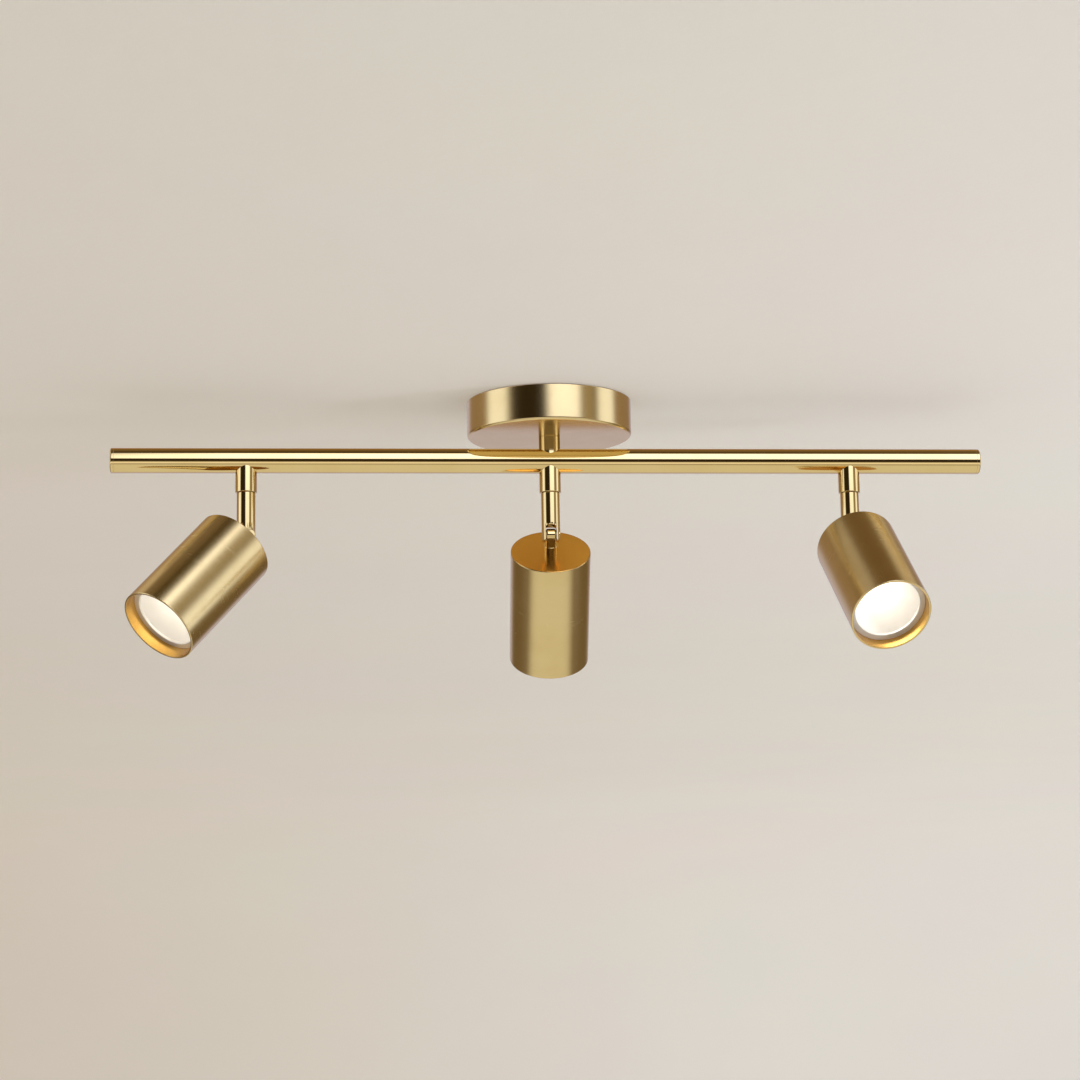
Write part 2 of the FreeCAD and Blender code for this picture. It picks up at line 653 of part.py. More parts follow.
def make_shell(side):
    """One-piece cylinder with a closed flat back and an open front."""
    back = "-neck_length"
    shell = turned("shell_" + side, [
        ("stud_thread / 2 + thread_fit", back), ("shell_diameter / 2", back), ("shell_diameter / 2", MOUTH),
        (SHELL_INSIDE, MOUTH), (SHELL_INSIDE, f"{back} - shell_back"),
        ("stud_thread / 2 + thread_fit", f"{back} - shell_back"),
    ])
    doc.recompute()
    can = shell.Shape.BoundBox
    round_edges(shell, "shell_back_round", lambda edge: is_ring(edge, can.XMax, can.ZMax))
    round_edges(shell, "shell_rim_round", lambda edge: is_ring(edge, can.XMax, can.ZMin))
    return shell


def make_ring(side):
    """Retaining ring, set back from the rim, with a softened inner edge."""
    outside = f"{SHELL_INSIDE} - press_fit"
    ring = turned("retaining_ring_" + side, [
        (RING_INSIDE, RING_FRONT), (outside, RING_FRONT), (outside, RING_BACK), (RING_INSIDE, RING_BACK),
    ])
    doc.recompute()
    front = ring.Shape.BoundBox.ZMin
    hole = min(edge.Curve.Radius for edge in ring.Shape.Edges if isinstance(edge.Curve, Part.Circle))
    round_edges(ring, "ring_round", lambda edge: is_ring(edge, hole, front))
    return ring


def make_reflector(side):
    """White cone from the ring back to the lens, with a front flange and a lip over the lens."""
    rim = f"{SHELL_INSIDE} - press_fit"
    neck = "lens_diameter / 2"
    return turned("reflector_" + side, [
        (RING_INSIDE, RING_BACK), (rim, RING_BACK), (rim, f"{RING_BACK} + cone_flange"),
        (f"{RING_INSIDE} + cone_wall", f"{RING_BACK} + cone_flange"),
        (f"{neck} + cone_wall", f"{LENS_FRONT} - cone_wall"), (f"{neck} + cone_wall", LENS_BACK),
        (f"{neck} + thread_fit", LENS_BACK), (f"{neck} + thread_fit", LENS_FRONT),
        (f"{neck} - lens_lip", LENS_FRONT), (f"{neck} - lens_lip", f"{LENS_FRONT} - lens_lip"),
    ])


def make_lens(side):
    """Round diffuser that the cone holds against the light board."""
    return turned("diffuser_" + side, [
        ("0", LENS_FRONT), ("lens_diameter / 2", LENS_FRONT), ("lens_diameter / 2", LENS_BACK), ("0", LENS_BACK),
    ])


def make_board(side):
    """Round aluminium circuit board with the raised light-emitting disc in its middle."""
    return turned("led_board_" + side, [
        ("0", LENS_BACK), ("chip_diameter / 2", LENS_BACK), ("chip_diameter / 2", BOARD_FRONT),
        ("lens_diameter / 2 + cone_wall", BOARD_FRONT), ("lens_diameter / 2 + cone_wall", SINK_FRONT),
        ("0", SINK_FRONT),
    ])


def make_heat_sink(side):
    """Base plate pressed into the shell, a bored post and a ring of radial fins."""
    outside = f"{SHELL_INSIDE} - press_fit"
    sink = turned("heat_sink_" + side, [
        ("sink_bore / 2", SINK_FRONT), (outside, SINK_FRONT), (outside, SINK_BACK), ("sink_post / 2", SINK_BACK),
        ("sink_post / 2", SINK_TOP), ("sink_bore / 2", SINK_TOP),
    ])
    fin_tip = f"{SHELL_INSIDE} - sink_fin_gap"
    first_fin = pad(sink, "XY_Plane", [rectangle("sink_post / 2 - cone_wall", fin_tip, "-sink_fin / 2", "sink_fin / 2")],
                    f"{SINK_TOP} - {SINK_FRONT}", lift=SINK_FRONT)
    doc.recompute()
    fins = sink.newObject("PartDesign::PolarPattern", "fins_" + side)
    fins.Originals = [first_fin]
    fins.Axis = (first_fin.Profile[0], ["N_Axis"])
    fins.Angle = 360
    fins.setExpression("Occurrences", bound("sink_fin_count"))
    sink.Tip = fins
    return sink


def make_head_lead(side):
    """Lead inside the head, from the stud's bore through the heat sink's post to the board."""
    head_lead = new_body("head_lead_" + side)
    start = "-stud_thread_length"
    pad(head_lead, "XY_Plane", [("0", "0", "lead_diameter / 2")], f"{start} - {SINK_FRONT}", lift=start,
        backwards=True)
    return head_lead


HEAD_PIECES = (make_stud, make_stud_nut, make_shell, make_ring, make_reflector,
               make_lens, make_board, make_heat_sink, make_head_lead)

for side in stations:
    for make_piece in HEAD_PIECES:
        piece = make_piece(side)
        at_head(piece, side)
        parts.append(piece)

# ------------------------------------------------------------------ checks and export

doc.recompute()
for item in doc.Objects:
    if "Invalid" in item.State or "Error" in item.State:
        raise ValueError(f"{item.Label} failed: {item.State}")
for item in parts:
    if item.Shape.isNull() or not item.Shape.isValid():
        raise ValueError(f"{item.Label} has no valid shape")

os.makedirs("parts", exist_ok=True)
for item in parts:
    item.Shape.exportStep(f"parts/{item.Label}.step")
    solids = len(item.Shape.Solids)
    print(f"{item.Label}: {solids} solid, {item.Shape.Volume / 1000:.2f} cm3")
print(len(parts), "sub-parts")
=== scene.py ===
import math

import bpy
from mathutils import Euler, Matrix, Vector


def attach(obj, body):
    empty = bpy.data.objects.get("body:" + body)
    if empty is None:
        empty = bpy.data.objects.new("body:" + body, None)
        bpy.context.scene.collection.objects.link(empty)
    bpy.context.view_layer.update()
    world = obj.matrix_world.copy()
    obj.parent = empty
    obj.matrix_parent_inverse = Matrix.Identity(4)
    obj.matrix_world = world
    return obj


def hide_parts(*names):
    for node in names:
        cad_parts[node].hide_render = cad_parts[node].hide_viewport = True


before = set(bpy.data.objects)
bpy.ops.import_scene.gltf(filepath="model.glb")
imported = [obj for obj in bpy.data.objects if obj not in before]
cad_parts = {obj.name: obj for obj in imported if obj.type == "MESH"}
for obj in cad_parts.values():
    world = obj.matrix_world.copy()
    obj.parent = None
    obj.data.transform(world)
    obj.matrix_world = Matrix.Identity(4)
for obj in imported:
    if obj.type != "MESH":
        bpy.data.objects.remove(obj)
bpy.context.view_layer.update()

# Ceiling bar light: a round canopy, one short stem, a long brass bar and three swivelling
# spot heads. Pieces are modelled in millimetres and settled into the frame in metres.

# ---------------------------------------------------------------- canopy
# Spun brass cup, 115 mm across, open to the ceiling, with a soft lower edge. It is brushed
# satin brass under lacquer, and two flush socket screws in its side hold it to the strap.

MM = 0.001
BAR_LEVEL = -42.0                 # bar axis below the ceiling
BAR_RADIUS = 8.75


def clear_selection():
    """Nothing stays selected, so that the next operator acts on one piece only."""
    for item in list(bpy.context.selected_objects):
        item.select_set(False)


def only(piece):
    """Makes one piece the selected and active one."""
    clear_selection()
    piece.select_set(True)
    bpy.context.view_layer.objects.active = piece


def rounded(corners, steps=6):
    """Outline points from (radius, height, corner round), each round drawn as a fine arc."""
    points = []
    for number, (radius, height, size) in enumerate(corners):
        here = Vector((radius, height))
        if size == 0:
            points.append(here)
            continue
        before = (Vector(corners[number - 1][:2]) - here).normalized()
        after = (Vector(corners[(number + 1) % len(corners)][:2]) - here).normalized()
        half = before.angle(after) / 2
        middle = here + (before + after).normalized() * size / math.sin(half)
        start = here + before * size / math.tan(half) - middle
        end = here + after * size / math.tan(half) - middle
        first = math.atan2(start.y, start.x)
        swing = (math.atan2(end.y, end.x) - first + math.pi) % (2 * math.pi) - math.pi
        for step in range(steps + 1):
            angle = first + swing * step / steps
            points.append(middle + size * Vector((math.cos(angle), math.sin(angle))))
    return points


def draw_line(name, points):
    """One vertex drawn out along a line of points; the piece is left in edit mode."""
    clear_selection()
    bpy.ops.mesh.primitive_plane_add(size=1, location=(0, 0, 0))
    piece = bpy.context.active_object
    piece.name = piece.data.name = name
    bpy.ops.object.mode_set(mode="EDIT")
    bpy.ops.mesh.select_mode(type="VERT")
    bpy.ops.mesh.select_all(action="SELECT")
    bpy.ops.mesh.merge(type="CENTER")
    bpy.ops.transform.translate(value=points[0])
    for here, there in zip(points, points[1:]):
        step = tuple(end - start for start, end in zip(here, there))
        bpy.ops.mesh.extrude_region_move(TRANSFORM_OT_translate={"value": step})
    bpy.ops.mesh.select_all(action="SELECT")
    return piece


def turn_on_lathe(name, corners, facets=192, closed=True, steps=6):
    """Turns a half section, given as (radius, height, corner round), about Z."""
    points = [(corner.x, 0, corner.y) for corner in rounded(corners, steps)]
    if closed:
        points.append(points[0])
    piece = draw_line(name, points)
    bpy.ops.mesh.spin(steps=facets, angle=2 * math.pi, center=(0, 0, 0), axis=(0, 0, 1))
    bpy.ops.mesh.select_all(action="SELECT")
    bpy.ops.mesh.remove_doubles(threshold=0.0005)
    bpy.ops.mesh.normals_make_consistent(inside=False)
    bpy.ops.object.mode_set(mode="OBJECT")
    return piece


def apply_modifier(piece, kind, **settings):
    """Adds one modifier with its settings and applies it."""
    only(piece)
    modifier = piece.modifiers.new(kind.lower(), kind)
    for key, value in settings.items():
        setattr(modifier, key, value)
    bpy.ops.object.modifier_apply(modifier=modifier.name)


def carve(piece, cutter, how="DIFFERENCE"):
    """Cuts one solid from another, or joins the two, and throws the cutter away."""
    apply_modifier(piece, "BOOLEAN", object=cutter, operation=how, solver="EXACT")
    bpy.data.objects.remove(cutter, do_unlink=True)


def rod(radius, length, along, centre, vertices=96):
    """A plain round cutter along X, Y or Z."""
    clear_selection()
    lean = {"X": (0, math.pi / 2, 0), "Y": (math.pi / 2, 0, 0), "Z": (0, 0, 0)}[along]
    bpy.ops.mesh.primitive_cylinder_add(vertices=vertices, radius=radius, depth=length,
                                        location=centre, rotation=lean)
    cutter = bpy.context.active_object
    bpy.ops.object.transform_apply(location=True, rotation=True, scale=True)
    return cutter


def smooth(piece, degrees=32):
    """Smooth shading over the rounds, true flats: sharp only past the angle."""
    only(piece)
    bpy.ops.object.shade_smooth_by_angle(angle=math.radians(degrees))
    apply_modifier(piece, "WEIGHTED_NORMAL", keep_sharp=True, weight=50)


def settle(piece, place, body, slot, finish, *stands_for):
    """Moves a piece from its own millimetres to its place, and ties it to the frame."""
    only(piece)
    piece.matrix_world = place @ Matrix.Scale(MM, 4)
    bpy.ops.object.transform_apply(location=True, rotation=True, scale=True)
    piece.data.materials.clear()
    piece.data.materials.append(finish)
    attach(piece, body)
    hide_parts(*stands_for)


def copy_of(piece, name):
    """A copy with its own mesh."""
    twin = piece.copy()
    twin.data = piece.data.copy()
    twin.name = twin.data.name = name
    bpy.context.collection.objects.link(twin)
    return twin


def add_node(tree, kind, settings=None, **inputs):
    """Adds a node; inputs are plain values or another node's output, by socket name."""
    node = tree.nodes.new(kind)
    for key, value in (settings or {}).items():
        setattr(node, key, value)
    for name, value in inputs.items():
        key = int(name[1:]) if name[1:].isdigit() else name.replace("_", " ")
        socket = node.inputs[key]
        if isinstance(value, bpy.types.NodeSocket):
            tree.links.new(value, socket)
        else:
            socket.default_value = value
    return node


def new_group(name, inputs, outputs):
    """An empty shader node group with named inputs (name, kind, value) and outputs."""
    group = bpy.data.node_groups.new(name, "ShaderNodeTree")
    for label, kind, value in inputs:
        made = group.interface.new_socket(name=label, in_out="INPUT", socket_type="NodeSocket" + kind)
        if value is not None:
            made.default_value = value
    for label, kind in outputs:
        group.interface.new_socket(name=label, in_out="OUTPUT", socket_type="NodeSocket" + kind)
    return group, group.nodes.new("NodeGroupInput").outputs, group.nodes.new("NodeGroupOutput").inputs


def placed(tree, group, **inputs):
    return add_node(tree, "ShaderNodeGroup", {"node_tree": group}, **inputs)


# Brush marks: fine rings round a turned piece's Z axis, broken up along their length.
brush_marks, given, wanted = new_group(
    "brush_marks",
    [("Vector", "Vector", None), ("Pitch", "Float", 2400.0), ("Length", "Float", 0.6)],
    [("Height", "Float"), ("Mask", "Float")])
parts = add_node(brush_marks, "ShaderNodeSeparateXYZ", Vector=given["Vector"])
flat = add_node(brush_marks, "ShaderNodeCombineXYZ", X=parts.outputs["X"], Y=parts.outputs["Y"])
radius = add_node(brush_marks, "ShaderNodeVectorMath", {"operation": "LENGTH"}, Vector=flat.outputs[0])
turn = add_node(brush_marks, "ShaderNodeVectorMath", {"operation": "NORMALIZE"}, Vector=flat.outputs[0])
stretch = add_node(brush_marks, "ShaderNodeVectorMath", {"operation": "SCALE"},
                   Vector=turn.outputs[0], Scale=given["Length"])
rings = add_node(brush_marks, "ShaderNodeMath", {"operation": "ADD"},
                 _0=radius.outputs["Value"], _1=parts.outputs["Z"])
pitch = add_node(brush_marks, "ShaderNodeMath", {"operation": "MULTIPLY"},
                 _0=rings.outputs[0], _1=given["Pitch"])
along = add_node(brush_marks, "ShaderNodeSeparateXYZ", Vector=stretch.outputs[0])
scan = add_node(brush_marks, "ShaderNodeCombineXYZ", X=along.outputs["X"], Y=along.outputs["Y"],
                Z=pitch.outputs[0])
lines = add_node(brush_marks, "ShaderNodeTexNoise", Vector=scan.outputs[0], Scale=1.0, Detail=3.0,
                 Roughness=0.6)
band = add_node(brush_marks, "ShaderNodeMapRange", {"interpolation_type": "SMOOTHSTEP"},
                Value=lines.outputs["Fac"], From_Min=0.35, From_Max=0.7)
brush_marks.links.new(lines.outputs["Fac"], wanted["Height"])
brush_marks.links.new(band.outputs["Result"], wanted["Mask"])

# Handling: soft clouds of tarnish, smudges left by fingers, and a few small specks.
handling, given, wanted = new_group(
    "handling",
    [("Vector", "Vector", None), ("Cloud Size", "Float", 22.0), ("Smudge Size", "Float", 90.0)],
    [("Cloud", "Float"), ("Smudge", "Float"), ("Speck", "Float")])
clouds = add_node(handling, "ShaderNodeTexNoise", Vector=given["Vector"], Scale=given["Cloud Size"],
                  Detail=4.0, Roughness=0.55)
cloud = add_node(handling, "ShaderNodeMapRange", {"interpolation_type": "SMOOTHSTEP"},
                 Value=clouds.outputs["Fac"], From_Min=0.38, From_Max=0.66)
smears = add_node(handling, "ShaderNodeTexNoise", Vector=given["Vector"], Scale=given["Smudge Size"],
                  Detail=2.0, Roughness=0.45, Distortion=0.8)
smear = add_node(handling, "ShaderNodeMapRange", {"interpolation_type": "SMOOTHSTEP"},
                 Value=smears.outputs["Fac"], From_Min=0.52, From_Max=0.72)
dots = add_node(handling, "ShaderNodeTexVoronoi", Vector=given["Vector"], Scale=420.0, Randomness=1.0)
dot = add_node(handling, "ShaderNodeMapRange", Value=dots.outputs["Distance"], From_Min=0.05,
               From_Max=0.11, To_Min=1.0, To_Max=0.0)
rare = add_node(handling, "ShaderNodeSeparateColor", Color=dots.outputs["Color"])
pick = add_node(handling, "ShaderNodeMath", {"operation": "GREATER_THAN"}, _0=rare.outputs[0], _1=0.965)
speck = add_node(handling, "ShaderNodeMath", {"operation": "MULTIPLY"}, _0=dot.outputs[0],
                 _1=pick.outputs[0])
handling.links.new(cloud.outputs["Result"], wanted["Cloud"])
handling.links.new(smear.outputs["Result"], wanted["Smudge"])
handling.links.new(speck.outputs[0], wanted["Speck"])

# Edge rub and painted highlight: corners painted paler, partly as rubbed wear and partly as a painted
# highlight line along the edge, found from how far a bevel would turn the normal.
edge_wear_and_highlight, given, wanted = new_group(
    "edge_wear_and_highlight", [("Vector", "Vector", None), ("Reach", "Float", 0.0006)], [("Edge", "Float")])
bent = add_node(edge_wear_and_highlight, "ShaderNodeBevel", {"samples": 4}, Radius=given["Reach"])
straight = edge_wear_and_highlight.nodes.new("ShaderNodeNewGeometry").outputs["Normal"]
turned = add_node(edge_wear_and_highlight, "ShaderNodeVectorMath", {"operation": "DOT_PRODUCT"},
                  _0=bent.outputs[0], _1=straight)
found = add_node(edge_wear_and_highlight, "ShaderNodeMapRange", Value=turned.outputs["Value"], From_Min=0.98,
                 From_Max=0.85, To_Min=0.0, To_Max=1.0)
broken = add_node(edge_wear_and_highlight, "ShaderNodeTexNoise", Vector=given["Vector"], Scale=260.0, Detail=3.0)
uneven = add_node(edge_wear_and_highlight, "ShaderNodeMapRange", Value=broken.outputs["Fac"], From_Min=0.3, From_Max=0.6)
edge = add_node(edge_wear_and_highlight, "ShaderNodeMath", {"operation": "MULTIPLY", "use_clamp": True},
                _0=found.outputs[0], _1=uneven.outputs[0])
edge_wear_and_highlight.links.new(edge.outputs[0], wanted["Edge"])


def own_place(tree, place):
    """Object coordinates turned to the piece's own place and axis."""
    where = add_node(tree, "ShaderNodeTexCoord").outputs["Object"]
    return add_node(tree, "ShaderNodeMapping", {"vector_type": "TEXTURE"}, Vector=where,
                    Location=place.to_translation(), Rotation=place.to_euler()).outputs[0]


SATIN_LIGHT = (0.85, 0.68, 0.35, 1)
SATIN_DEEP = (0.81, 0.635, 0.31, 1)
# Paler brass for the edges: rubbed wear and a painted edge highlight.
WORN_AND_HIGHLIGHT_BRASS = (0.95, 0.80, 0.48, 1)
TARNISH = (0.40, 0.25, 0.09, 1)


def brass(name, light, deep, rough, place, pitch, marks, smears):
    """Brass with brush marks about the piece's own axis, clouds, smudges, and edges painted paler as
    rubbed wear and as a painted edge highlight.
    """
    material = bpy.data.materials.new(name)
    material.use_nodes = True
    tree = material.node_tree
    shader = tree.nodes["Principled BSDF"]
    own = own_place(tree, place)
    marks_here = placed(tree, brush_marks, Vector=own, Pitch=pitch)
    handled = placed(tree, handling, Vector=own)
    wear_and_highlight = placed(tree, edge_wear_and_highlight, Vector=own)
    tone = add_node(tree, "ShaderNodeMix", {"data_type": "RGBA"}, Factor=handled.outputs["Cloud"],
                    _6=light, _7=deep)
    dulled = add_node(tree, "ShaderNodeMath", {"operation": "MULTIPLY"},
                      _0=handled.outputs["Speck"], _1=0.22)
    spotted = add_node(tree, "ShaderNodeMix", {"data_type": "RGBA"}, Factor=dulled.outputs[0],
                       _6=tone.outputs[2], _7=TARNISH)
    # Edges painted paler: rubbed wear and a painted highlight line.
    wear_highlighted_tone = add_node(tree, "ShaderNodeMix", {"data_type": "RGBA"}, Factor=wear_and_highlight.outputs["Edge"],
                    _6=spotted.outputs[2], _7=WORN_AND_HIGHLIGHT_BRASS)
    tree.links.new(wear_highlighted_tone.outputs[2], shader.inputs["Base Color"])
    brushed = add_node(tree, "ShaderNodeMapRange", Value=marks_here.outputs["Mask"],
                       To_Min=rough - marks, To_Max=rough + marks)
    touched = add_node(tree, "ShaderNodeMath", {"operation": "MULTIPLY_ADD"},
                       _0=handled.outputs["Smudge"], _1=smears, _2=brushed.outputs[0])
    tree.links.new(touched.outputs[0], shader.inputs["Roughness"])
    relief = add_node(tree, "ShaderNodeBump", Strength=0.05, Distance=0.000004,
                      Height=marks_here.outputs["Height"])
    tree.links.new(relief.outputs[0], shader.inputs["Normal"])
    shader.inputs["Metallic"].default_value = 1.0
    return material


HERE = Matrix.Identity(4)
canopy_satin = brass("canopy_satin_brass", SATIN_LIGHT, SATIN_DEEP, 0.22, HERE, 2600.0, 0.012, 0.015)

canopy = turn_on_lathe("canopy_cup", [
    (5.05, -25, 0.2), (57.5, -25, 2.0), (57.5, 0, 0.6), (56.0, 0, 0.3), (56.0, -23.5, 1.6),
    (5.05, -23.5, 0.2)], facets=256, steps=8)
for side in (-1, 1):
    carve(canopy, rod(2.05, 8, "X", (side * 56.5, 0, -8), 48))
smooth(canopy)
settle(canopy, HERE, "root", "satin_brass", canopy_satin, "canopy")

# ---------------------------------------------------------------- strap, driver and wiring
# Inside the canopy: a zinc-plated strap on the ceiling box, a green earth screw, two small side
# screws, a white potted driver, a terminal block and leads. Other hidden fittings follow.


def plain_finish(name, light, deep, rough, metallic, cloud_size, grain_size, grain_height, spread):
    """A painted, moulded or plated finish: cloudy tone, uneven gloss, a fine grain, and edges painted
    paler as rubbed wear and as a painted edge highlight.
    """
    material = bpy.data.materials.new(name)
    material.use_nodes = True
    tree = material.node_tree
    shader = tree.nodes["Principled BSDF"]
    where = add_node(tree, "ShaderNodeTexCoord").outputs["Object"]
    handled = placed(tree, handling, Vector=where, Cloud_Size=cloud_size)
    wear_and_highlight = placed(tree, edge_wear_and_highlight, Vector=where, Reach=0.0005)
    tone = add_node(tree, "ShaderNodeMix", {"data_type": "RGBA"}, Factor=handled.outputs["Cloud"],
                    _6=light, _7=deep)
    # Paler edges: rubbed wear and a painted highlight line.
    edge_wear_highlight_tone = tuple(min(1.0, part * 1.18 + 0.03) for part in light[:3]) + (1,)
    wear_highlighted_tone = add_node(tree, "ShaderNodeMix", {"data_type": "RGBA"}, Factor=wear_and_highlight.outputs["Edge"],
                    _6=tone.outputs[2], _7=edge_wear_highlight_tone)
    tree.links.new(wear_highlighted_tone.outputs[2], shader.inputs["Base Color"])
    gloss = add_node(tree, "ShaderNodeMapRange", Value=handled.outputs["Smudge"],
                     To_Min=rough - spread, To_Max=rough + spread)
    tree.links.new(gloss.outputs[0], shader.inputs["Roughness"])
    grain = add_node(tree, "ShaderNodeTexNoise", Vector=where, Scale=grain_size, Detail=3.0)
    relief = add_node(tree, "ShaderNodeBump", Strength=0.35, Distance=grain_height,
                      Height=grain.outputs["Fac"])
    tree.links.new(relief.outputs[0], shader.inputs["Normal"])
    shader.inputs["Metallic"].default_value = metallic
    return material


def dress(node, finish):
    """Gives a frame node its finish, in its own slots."""
    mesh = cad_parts[node].data
    mesh.materials.clear()
    mesh.materials.append(finish)


zinc = plain_finish("bright_zinc", (0.62, 0.63, 0.64, 1), (0.46, 0.46, 0.44, 1),
                    0.34, 1.0, 60.0, 900.0, 0.00008, 0.08)
earth_green = plain_finish("earth_screw_green", (0.05, 0.22, 0.07, 1), (0.03, 0.13, 0.05, 1),
                           0.4, 0.6, 120.0, 1500.0, 0.00005, 0.08)
driver_white = plain_finish("driver_case", (0.82, 0.81, 0.77, 1), (0.72, 0.70, 0.65, 1),
                            0.5, 0.0, 50.0, 2200.0, 0.00006, 0.08)
block_white = plain_finish("terminal_nylon", (0.80, 0.79, 0.74, 1), (0.68, 0.66, 0.60, 1),
                           0.42, 0.0, 80.0, 1600.0, 0.00005, 0.07)
lead_white = plain_finish("lead_silicone", (0.78, 0.77, 0.74, 1), (0.66, 0.64, 0.60, 1),
                          0.55, 0.0, 90.0, 1800.0, 0.00005, 0.08)
nylon = plain_finish("washer_nylon", (0.74, 0.72, 0.66, 1), (0.62, 0.59, 0.52, 1),
                     0.45, 0.0, 120.0, 1800.0, 0.00004, 0.07)
aluminium = plain_finish("bare_aluminium", (0.78, 0.77, 0.75, 1), (0.66, 0.65, 0.63, 1),
                         0.32, 1.0, 70.0, 2600.0, 0.00006, 0.07)
board_white = plain_finish("board_solder_mask", (0.86, 0.86, 0.82, 1), (0.78, 0.77, 0.72, 1),
                           0.35, 0.0, 90.0, 1400.0, 0.00003, 0.06)
screw_satin = brass("screw_satin_brass", SATIN_LIGHT, SATIN_DEEP, 0.3, HERE, 3000.0, 0.02, 0.03)

for node in ("ceiling_strap", "stem_nut", "swivel_bolts", "wave_washers", "stop_pins",
             "stud_nut_left", "stud_nut_centre", "stud_nut_right"):
    dress(node, zinc)
dress("ground_screw", earth_green)
dress("canopy_screws", screw_satin)
dress("led_driver", driver_white)
dress("terminal_block", block_white)
for node in ("driver_lead", "bar_harness", "head_lead_left", "head_lead_centre", "head_lead_right"):
    dress(node, lead_white)
for side in ("left", "centre", "right"):
    dress("pivot_washers_" + side, nylon)
    dress("heat_sink_" + side, aluminium)
    dress("led_board_" + side, board_white)

# ---------------------------------------------------------------- stem
# Polished brass tube, 15 mm across, coped to sit on the bar; its threaded neck goes up
# through the canopy's floor, where a nut clamps it.

GOLD_LIGHT = (0.86, 0.68, 0.33, 1)
GOLD_DEEP = (0.83, 0.645, 0.30, 1)
ALONG_X = Matrix.Rotation(math.pi / 2, 4, "Y")


def bar_cutter(centre=0.0):
    return rod(BAR_RADIUS, 60, "X", (centre, 0, BAR_LEVEL), 192)


def buffed(name, place, rough=0.075, pitch=3200.0):
    """The polished brass: nearly a mirror, with only faint marks left by the wheel."""
    return brass(name, GOLD_LIGHT, GOLD_DEEP, rough, place, pitch, 0.006, 0.012)


polished = buffed("polished_brass", HERE)
stem = turn_on_lathe("stem_tube", [
    (3, BAR_LEVEL, 0), (7.5, BAR_LEVEL, 0), (7.5, -25, 0.25), (5, -25, 0), (5, -16, 0.5),
    (3, -16, 0.3)], facets=128)
carve(stem, bar_cutter())
smooth(stem)
settle(stem, HERE, "root", "polished_brass", polished, "stem")

# ---------------------------------------------------------------- bar and its ends
# Drawn brass tube, 17.5 mm across and 610 mm long over its ends, polished along its length.
# A turned button with a soft edge is pressed into each end.

TUBE_HALF = 302.6                 # half the tube; the buttons add 2.4 at each end
bar_axis = Matrix.Translation((0, 0, BAR_LEVEL * MM)) @ ALONG_X
polished_bar = buffed("polished_bar_brass", bar_axis, 0.07, 2200.0)
bar = turn_on_lathe("bar_tube", [
    (7.55, -TUBE_HALF, 0), (BAR_RADIUS, -TUBE_HALF, 0.15), (BAR_RADIUS, TUBE_HALF, 0.15),
    (7.55, TUBE_HALF, 0)], facets=128)
smooth(bar)
settle(bar, bar_axis, "root", "polished_brass", polished_bar, "bar")

button = turn_on_lathe("bar_button", [
    (0, -8, 0), (7.51, -8, 0.4), (7.51, 0, 0), (BAR_RADIUS, 0, 0.15), (BAR_RADIUS, 2.4, 0.9),
    (0, 2.4, 0)], facets=128, closed=False, steps=8)
smooth(button)
for side, sign in (("left", -1), ("right", 1)):
    end = copy_of(button, "bar_button_" + side)
    spot = Matrix.Translation((sign * TUBE_HALF * MM, 0, BAR_LEVEL * MM))
    settle(end, spot @ Matrix.Rotation(sign * math.pi / 2, 4, "Y"), "root", "polished_brass",
           polished_bar, "bar_end_" + side)
bpy.data.objects.remove(button, do_unlink=True)

# ---------------------------------------------------------------- ferrules
# Three turned brass sleeves, 15 mm across, coped to the bar's underside; a hollow bolt in
# each carries the arm below it.

STATIONS = {"left": -211.5, "centre": 0.0, "right": 211.5}
sleeve = turn_on_lathe("ferrule", [
    (3, BAR_LEVEL, 0), (7.5, BAR_LEVEL, 0), (7.5, -64.75, 0.45), (3.05, -64.75, 0.2),
    (3.05, -55.75, 0), (3, -55.75, 0)], facets=128)
carve(sleeve, bar_cutter())
smooth(sleeve)
for side, across in STATIONS.items():
    ferrule = copy_of(sleeve, "ferrule_sleeve_" + side)
    spot = Matrix.Translation((across * MM, 0, 0))
    settle(ferrule, spot, "root", "polished_brass", buffed("polished_ferrule_" + side, spot),
           "ferrule_" + side)
bpy.data.objects.remove(sleeve, do_unlink=True)

# ---------------------------------------------------------------- fork arms and pivot screws
# Each arm is a 13 mm turned brass tube that swivels under its ferrule. Its lower end is slotted
# into a fork, and a slotted shoulder screw crosses the fork.

PIVOT_LEVEL = -94.5
PAN = {"left": -52.0, "centre": -2.5, "right": 9.0}
TILT = {"left": 46.0, "centre": -41.0, "right": 47.0}


def arm_place(side):
    """The pivot on its station, turned by the rest pan angle."""
    spot = Matrix.Translation((STATIONS[side] * MM, 0, PIVOT_LEVEL * MM))
    return spot @ Matrix.Rotation(math.radians(PAN[side]), 4, "Z")


def block(size, centre):
    """A plain straight-sided cutter."""
    clear_selection()
    bpy.ops.mesh.primitive_cube_add(size=1, location=centre, scale=size)
    cutter = bpy.context.active_object
    bpy.ops.object.transform_apply(location=True, rotation=True, scale=True)
    return cutter


def bevel_where(piece, width, segments, wanted_edge):
    """Bevels the edges that a test on their two ends picks."""
    only(piece)
    bpy.ops.object.mode_set(mode="EDIT")
    bpy.ops.mesh.select_mode(type="EDGE")
    bpy.ops.mesh.select_all(action="DESELECT")
    bpy.ops.object.mode_set(mode="OBJECT")
    mesh = piece.data
    for edge in mesh.edges:
        one, two = (mesh.vertices[index].co for index in edge.vertices)
        edge.select = wanted_edge(one, two)
    bpy.ops.object.mode_set(mode="EDIT")
    bpy.ops.mesh.bevel(offset=width, segments=segments, profile=0.5)
    bpy.ops.object.mode_set(mode="OBJECT")


